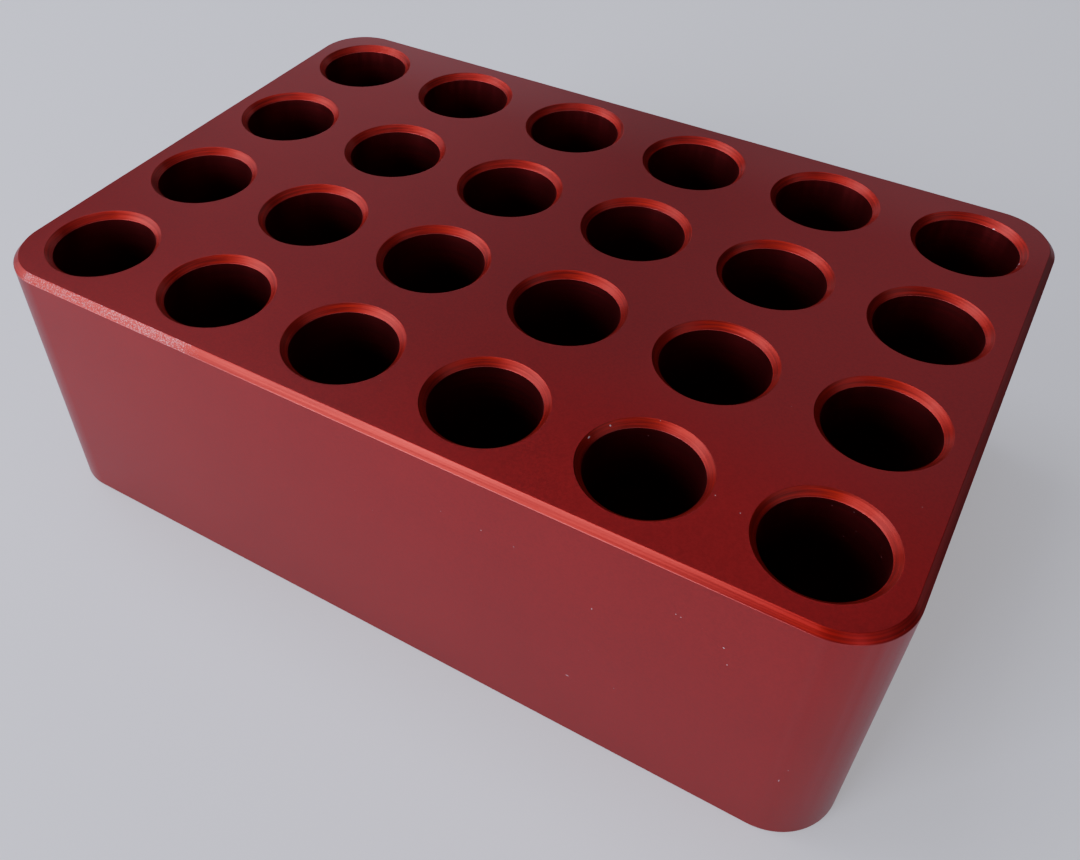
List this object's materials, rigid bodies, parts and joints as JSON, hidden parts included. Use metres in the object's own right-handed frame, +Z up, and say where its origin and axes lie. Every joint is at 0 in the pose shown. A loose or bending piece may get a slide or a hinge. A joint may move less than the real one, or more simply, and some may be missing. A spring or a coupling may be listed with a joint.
{
  "type": "cold block",
  "caption": "Rectangular one-piece metal cooling block with a grid of chamfered blind round wells for sample tubes, rounded upright corners and a chamfered top edge.",
  "frame": {"origin": "centre of the underside, on the surface that the block stands on", "axes": "+X along the long side towards the picture's right, +Y along the short side towards the back, +Z up out of the wells"},
  "size_m": [0.1276, 0.0856, 0.0418],
  "materials": {
    "red_anodised_aluminium": "satin red anodised, fine machining lines on the chamfers"
  },
  "bodies": {
    "root": {"cooling_block": "red_anodised_aluminium"}
  },
  "joints": []
}
